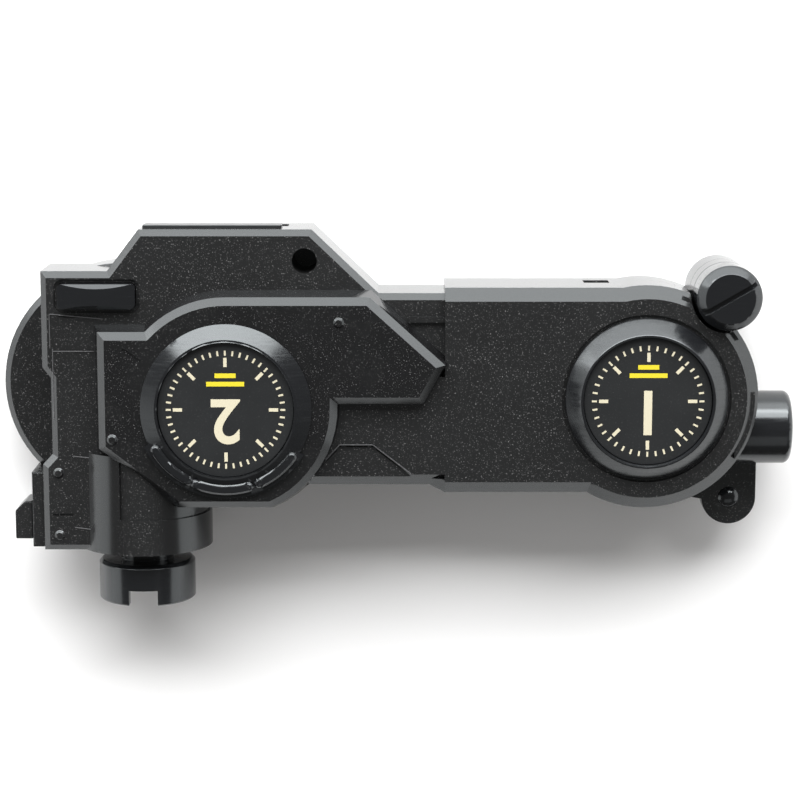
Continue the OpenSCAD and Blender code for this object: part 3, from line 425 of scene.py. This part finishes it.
def rounded_copy(node_name, width_mm, join_flats=True, rim=None, above=None, cuts=()):
    """A copy of a part with its rim filled, its cuts made and its edges rounded, in that part's place."""
    piece = welded_copy(node_name, node_name + "_moulded")
    if rim is not None:
        fill_rim(piece, rim)
    for point, outward in cuts:
        bpy.ops.mesh.select_all(action="SELECT")
        bpy.ops.mesh.bisect(plane_co=point, plane_no=outward, use_fill=True, clear_outer=True)
    bpy.ops.mesh.select_all(action="SELECT")
    if join_flats:
        bpy.ops.mesh.dissolve_limited(angle_limit=FLAT_ENOUGH)
    weigh_sharp_edges(piece, above)
    round_weighed_edges(piece, width_mm)
    stand_for(piece, node_name)
    return piece


print("rounding helpers ready")

# %% [markdown]
# ## How round each part is
# Large mouldings have rounds of about a third of a millimetre, small ones less. Most copies have their flat
# faces joined again before they are rounded. Four parts keep their triangles, because their flats have holes
# or fine ribs that a joined face would not keep well. On the cover only the edges above the rim are rounded.
# The lock button is crowned along its length, so two slanting cuts along its upper edges are widest in the
# middle and run out towards its ends. Levels are measured on the parts, so the cuts follow the construction.

# %% Round the moulded parts
Y, Z = 1, 2


def reach(piece, axis):
    """The lowest and the highest place of a piece along an axis."""
    places = [point.co[axis] for point in piece.data.vertices]
    return min(places), max(places)


BODY_FACE = reach(frame["nodes"]["front_cover"], Z)[0]
ROUND_ABOVE_RIM = 1.5 * MM
CROWN_HALF = 2 * MM
button_middle = sum(reach(frame["nodes"]["lock_button"], Y)) / 2
button_top = reach(frame["nodes"]["lock_button"], Z)[1]
crown_cuts = [((0, button_middle + side * CROWN_HALF, button_top), (0, side, 1)) for side in (1, -1)]

edge_mm = {
    "front_case": 0.3, "rear_case": 0.3, "front_cover": 0.35, "selector_dial": 0.12, "arm_bezel": 0.35,
    "rear_bezel": 0.35, "lock_button": 0.15, "end_button": 0.2, "coin_screw": 0.25, "lock_barrel": 0.3,
    "launch_head": 0.3, "side_rail": 0.25, "side_slider": 0.35, "drum_cover": 0.25, "roof_rail": 0.2,
    "dial_badge": 0.12, "bezel_badge": 0.12, "ear_rivet": 0.2,
}
special = {
    "front_case": {"join_flats": False},
    "rear_case": {"join_flats": False},
    "selector_dial": {"join_flats": False},
    "front_cover": {"join_flats": False, "rim": BODY_FACE, "above": BODY_FACE + ROUND_ABOVE_RIM},
    "lock_button": {"cuts": crown_cuts},
}
for name, width in edge_mm.items():
    moulding = rounded_copy(name, width, **special.get(name, {}))
    print(name, "faces:", len(moulding.data.polygons))

# %% [markdown]
# ## Springs
# Under each push button sits a coil spring. Its foot stays where it is and its other end follows the button.
# Here each spring is a welded copy with smooth shading that only rides along with its part and keeps its
# full length, so it would stick out through the button when the button is pushed.

# %% Springs
COIL_SMOOTH = math.radians(40)


def pushed_spring(node_name):
    """A welded copy of a spring, smoothly shaded, that rides where its part rides."""
    piece = welded_copy(node_name, node_name + "_coil")
    bpy.ops.object.mode_set(mode="OBJECT")
    bpy.ops.object.shade_smooth_by_angle(angle=COIL_SMOOTH)
    stand_for(piece, node_name)
    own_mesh(piece)


pushed_spring("end_spring")
pushed_spring("lock_spring")

# %% [markdown]
# ## Inks for the badges
# Badges on toys are screen printed: the ink lies on the disc as a film a few hundredths of a millimetre
# thick, dense and slightly rough, with pinholes where it did not take. A noise that lets the black through
# in a few spots is all that this needs.

# %% Cream and yellow ink
PINHOLE_SHADE = 0.45


def screen_ink(name, colour):
    """Printed ink with small darker pinholes."""
    material, shader, place, add, join = start_finish(name, colour, roughness=0.5)
    pinholes = speckle(place, add, join, size_mm=0.35, low=0.68, high=0.78)
    two_tone(shader, add, join, pinholes, colour, [PINHOLE_SHADE * c for c in colour])
    return material


ink_cream = screen_ink("ink_cream", (0.54, 0.5, 0.37))
ink_yellow = screen_ink("ink_yellow", (0.6, 0.5, 0.02))
print("inks:", ink_cream.name, ink_yellow.name)

# %% [markdown]
# ## Starting and ending a new piece
# Prints and ridges are new pieces. Most start as a plane at the origin in edit mode, and all end in the same
# way: faces are turned outwards, the piece gets a name and a finish, and it is told which body it rides on.
# A flat print also gets the thickness of its ink. Shaping in edit mode keeps the object at the origin.

# %% Helpers for new pieces
INK = 0.04 * MM


def start_flat():
    """A plane one metre wide at the origin, in edit mode with all of it selected."""
    bpy.ops.object.select_all(action="DESELECT")
    bpy.ops.mesh.primitive_plane_add(size=1, location=(0, 0, 0))
    bpy.ops.object.mode_set(mode="EDIT")
    bpy.ops.mesh.select_all(action="SELECT")
    return bpy.context.active_object


def hand_over(piece, name, finish, body):
    """Turn the faces of a piece outwards, name it, give it its finish and let it ride on its body."""
    bpy.ops.mesh.select_all(action="SELECT")
    bpy.ops.mesh.normals_make_consistent(inside=False)
    bpy.ops.object.mode_set(mode="OBJECT")
    piece.name = name
    piece.data.materials.clear()
    piece.data.materials.append(finish)
    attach(piece, body)
    return piece


def thicken_print(piece, name, ink, body):
    """Give a flat shape its film of ink and hand it over."""
    bpy.ops.mesh.select_all(action="SELECT")
    bpy.ops.mesh.extrude_region_move(TRANSFORM_OT_translate={"value": (0, 0, INK)})
    return hand_over(piece, name, ink, body)


print("piece helpers ready")

# %% [markdown]
# ## A plain scale on each badge
# Each disc gets a ring of ticks like that of a kitchen timer. One tick is a plane, resized and moved out to
# its radius in edit mode. Spin with copies then repeats it round the axis, and an extrude gives the ink its
# thickness. Spinning copies is quicker than an array, because it needs no helper object.

# %% Ring of ticks
FINE_TICK = (1.2 * MM, 0.45 * MM)
LONG_TICK = (2.2 * MM, 0.8 * MM)


def badge_axis(joint, badge):
    """The point where the axis of a joint meets the front of a badge."""
    x, y, _ = joint_called[joint]["pos_m"]
    return x, y, reach(frame["nodes"][badge], Z)[1]


def tick_ring(name, axis, body, tick, radius_mm, count):
    """A tick, given as its length and width, repeated round an axis."""
    piece = start_flat()
    bpy.ops.transform.resize(value=(*tick, 1))
    bpy.ops.transform.translate(value=(axis[0] + radius_mm * MM, axis[1], axis[2]))
    turn = 2 * math.pi * (count - 1) / count
    bpy.ops.mesh.spin(steps=count - 1, dupli=True, angle=turn, center=axis, axis=(0, 0, 1))
    return thicken_print(piece, name, ink_cream, body)


DIAL_AXIS = badge_axis("dial_turn", "dial_badge")
BEZEL_AXIS = badge_axis("arm_wheel_spin", "bezel_badge")
for ring in (
    tick_ring("dial_fine_ticks", DIAL_AXIS, "dial", FINE_TICK, radius_mm=13.6, count=48),
    tick_ring("dial_long_ticks", DIAL_AXIS, "dial", LONG_TICK, radius_mm=11.4, count=8),
    tick_ring("bezel_fine_ticks", BEZEL_AXIS, "casing", FINE_TICK, radius_mm=12.8, count=40),
    tick_ring("bezel_long_ticks", BEZEL_AXIS, "casing", LONG_TICK, radius_mm=10.6, count=8),
):
    print(ring.name, "faces:", len(ring.data.polygons))

# %% [markdown]
# ## Fine ridges on the casing
# The mould of the casing has a few hair-thin scribed lines on the left of the body and round the sunk panel
# at the neck. They leave ridges on the plastic that catch the light, and the ridges are coloured a lighter
# grey than the casing as a painted highlight along each line. Each starts as a plane as long as the line, is
# extruded, and its top is narrowed so that the ridge has sloping sides. It is turned and moved while it is
# still in edit mode, and all of them are one piece. Without a window the rotate operator turns the other
# way, so it gets the slope with a minus sign.

# %% Ridges
ARM_FACE = reach(frame["nodes"]["arm_bezel"], Z)[0]
RIDGE_WIDE = 0.3 * MM
RIDGE_TALL = 0.2 * MM
RIDGE_SUNK = 0.08 * MM
RIDGE_TOP_SHARES = (0.99, 0.4, 1)
body_lines_mm = [
    ((-83.0, 25.3), (-70.2, 24.1)), ((-83.0, 25.3), (-83.0, 17.2)), ((-82.4, 16.9), (-82.4, -0.1)),
    ((-82.4, 16.3), (-72.4, 16.3)), ((-78.2, -9.3), (-68.4, -10.3)), ((-77.9, -26.9), (-69.0, -28.1)),
]
neck_lines_mm = [
    ((-16.9, -9.55), (-13.6, -6.0)), ((-13.6, -5.95), (-5.5, -5.95)), ((-5.5, -6.0), (3.6, -13.0)),
]
# The ridges' plastic is a much lighter grey than the casing: a painted highlight along each scribed line.
ridge_painted_highlight = grained_plastic(
    "ridge_painted_highlight", (0.07, 0.07, 0.072), dust=0.3, roughness=0.4, bevel_roughness=0.3)


def raise_ridge(start_mm, end_mm, face):
    """Shape the selected plane into a ridge between two points of a face, in edit mode."""
    run = (Vector(end_mm) - Vector(start_mm)) * MM
    middle = (Vector(end_mm) + Vector(start_mm)) / 2 * MM
    bpy.ops.transform.resize(value=(run.length, RIDGE_WIDE, 1))
    bpy.ops.mesh.extrude_region_move(TRANSFORM_OT_translate={"value": (0, 0, RIDGE_TALL)})
    bpy.ops.transform.resize(value=RIDGE_TOP_SHARES)
    bpy.ops.mesh.select_linked()
    slope = math.atan2(run.y, run.x)
    bpy.ops.transform.rotate(value=-slope, orient_axis="Z", center_override=(0, 0, 0))
    bpy.ops.transform.translate(value=(middle.x, middle.y, face - RIDGE_SUNK))


lines_on_faces = [(line, BODY_FACE) for line in body_lines_mm] + [(line, ARM_FACE) for line in neck_lines_mm]
ridges = start_flat()
for number, (line_mm, face) in enumerate(lines_on_faces):
    if number > 0:
        bpy.ops.mesh.select_all(action="DESELECT")
        bpy.ops.mesh.primitive_plane_add(size=1, location=(0, 0, 0))
    raise_ridge(*line_mm, face)
hand_over(ridges, "casing_ridges", ridge_painted_highlight, "casing")
print("ridges:", len(lines_on_faces), "faces:", len(ridges.data.polygons))

# %% [markdown]
# ## Numbers and bars
# The two discs are told apart by a plain number. It is a text object with a little extra weight, turned to a
# mesh at once so that the font is no longer needed, and it stands on its head, because the launcher is
# held the other way up. A pair of yellow bars lies above each number.

# %% Numbers and yellow bars
NUMBER_HIGH = 15 * MM
NUMBER_WEIGHT = 0.25 * MM
NUMBER_DROP = 2.2 * MM
NUMBER_WELD = 0.001 * MM
BAR_HIGH = 1.1 * MM


def plain_number(name, axis, body, digit):
    """A printed digit on its head, a little below the middle of its disc."""
    bpy.ops.object.select_all(action="DESELECT")
    bpy.ops.object.text_add(location=axis, rotation=(0, 0, math.pi))
    letter = bpy.context.active_object
    letter.data.body = digit
    letter.data.size = NUMBER_HIGH
    letter.data.offset = NUMBER_WEIGHT
    letter.data.extrude = INK / 2
    letter.data.align_x = "CENTER"
    letter.data.align_y = "CENTER"
    bpy.ops.object.convert(target="MESH")
    piece = bpy.context.active_object
    bpy.ops.object.transform_apply(location=True, rotation=True, scale=True)
    bpy.ops.object.mode_set(mode="EDIT")
    bpy.ops.mesh.select_all(action="SELECT")
    bpy.ops.transform.translate(value=(0, -NUMBER_DROP, INK / 2))
    bpy.ops.mesh.remove_doubles(threshold=NUMBER_WELD)
    return hand_over(piece, name, ink_cream, body)


def yellow_bar(name, axis, body, up_mm, wide_mm):
    """A printed bar above the middle of its disc."""
    piece = start_flat()
    bpy.ops.transform.resize(value=(wide_mm * MM, BAR_HIGH, 1))
    bpy.ops.transform.translate(value=(axis[0], axis[1] + up_mm * MM, axis[2]))
    return thicken_print(piece, name, ink_yellow, body)


for mark in (
    plain_number("dial_number", DIAL_AXIS, "dial", "2"),
    plain_number("bezel_number", BEZEL_AXIS, "casing", "1"),
    yellow_bar("dial_wide_bar", DIAL_AXIS, "dial", up_mm=6.2, wide_mm=9),
    yellow_bar("dial_short_bar", DIAL_AXIS, "dial", up_mm=8.2, wide_mm=5),
    yellow_bar("bezel_wide_bar", BEZEL_AXIS, "casing", up_mm=6.2, wide_mm=9),
    yellow_bar("bezel_short_bar", BEZEL_AXIS, "casing", up_mm=8.2, wide_mm=5),
):
    print(mark.name, "faces:", len(mark.data.polygons))

# %% [markdown]
# ## Table
# The launcher lies on a white table.

# %% White table
TABLE_WIDE = 6
TABLE_WHITE = (0.95, 0.95, 0.95)

bpy.ops.object.select_all(action="DESELECT")
bpy.ops.mesh.primitive_plane_add(size=TABLE_WIDE, location=(0, 0, 0))
table = bpy.context.active_object
table.name = "white_table"
paper = start_finish("table_white", TABLE_WHITE, roughness=0.9)[0]
table.data.materials.append(paper)
print("table:", table.name)

# %% [markdown]
# ## Light
# Black plastic shows what it mirrors, so the lamps are large panels. A wide soft one stands low beyond the
# roof and a second one hangs higher, so the upper bevels shine and a soft shadow falls below the launcher.
# Both are bright enough for the open table to come out white. Weaker panels on the left and right draw the
# side bevels, and a faint one in front lifts the lower bevels. The sky is kept dim, because it would fill
# the shadow.

# %% Lamps and sky
LAUNCHER_MIDDLE = (0, 0, 0.02)
SKY_COLOUR = (1, 0.965, 0.93, 1)
SKY_STRENGTH = 0.13


def soft_lamp(name, place, wide, high, watts, target=LAUNCHER_MIDDLE):
    """A panel of light at a place, turned to a target. Places and sizes are in metres."""
    data = bpy.data.lights.new(name, "AREA")
    data.shape = "RECTANGLE"
    data.size = wide
    data.size_y = high
    data.energy = watts
    lamp = bpy.data.objects.new(name, data)
    bpy.context.scene.collection.objects.link(lamp)
    lamp.location = place
    lamp.rotation_euler = (Vector(target) - Vector(place)).to_track_quat("-Z", "Y").to_euler()
    return lamp


lamps = [
    soft_lamp("roof_wall", (-0.5, 1.0, 0.38), wide=3.4, high=0.72, watts=36, target=(-0.5, 0, 0.38)),
    soft_lamp("roof_high", (-0.05, 0.95, 0.77), wide=2.0, high=0.6, watts=36),
    soft_lamp("left_wall", (-1.1, 0.1, 0.3), wide=1.5, high=0.6, watts=4.5, target=(0, 0.1, 0.3)),
    soft_lamp("right_wall", (1.1, 0.1, 0.3), wide=1.5, high=0.6, watts=4.5, target=(0, 0.1, 0.3)),
    soft_lamp("front_fill", (0.1, -0.7, 0.9), wide=1.2, high=0.6, watts=1),
]
sky = bpy.data.worlds.new("white_room")
bpy.context.scene.world = sky
sky.use_nodes = True
sky_light = sky.node_tree.nodes["Background"]
sky_light.inputs["Color"].default_value = SKY_COLOUR
sky_light.inputs["Strength"].default_value = SKY_STRENGTH
print("lamps:", [lamp.name for lamp in lamps])
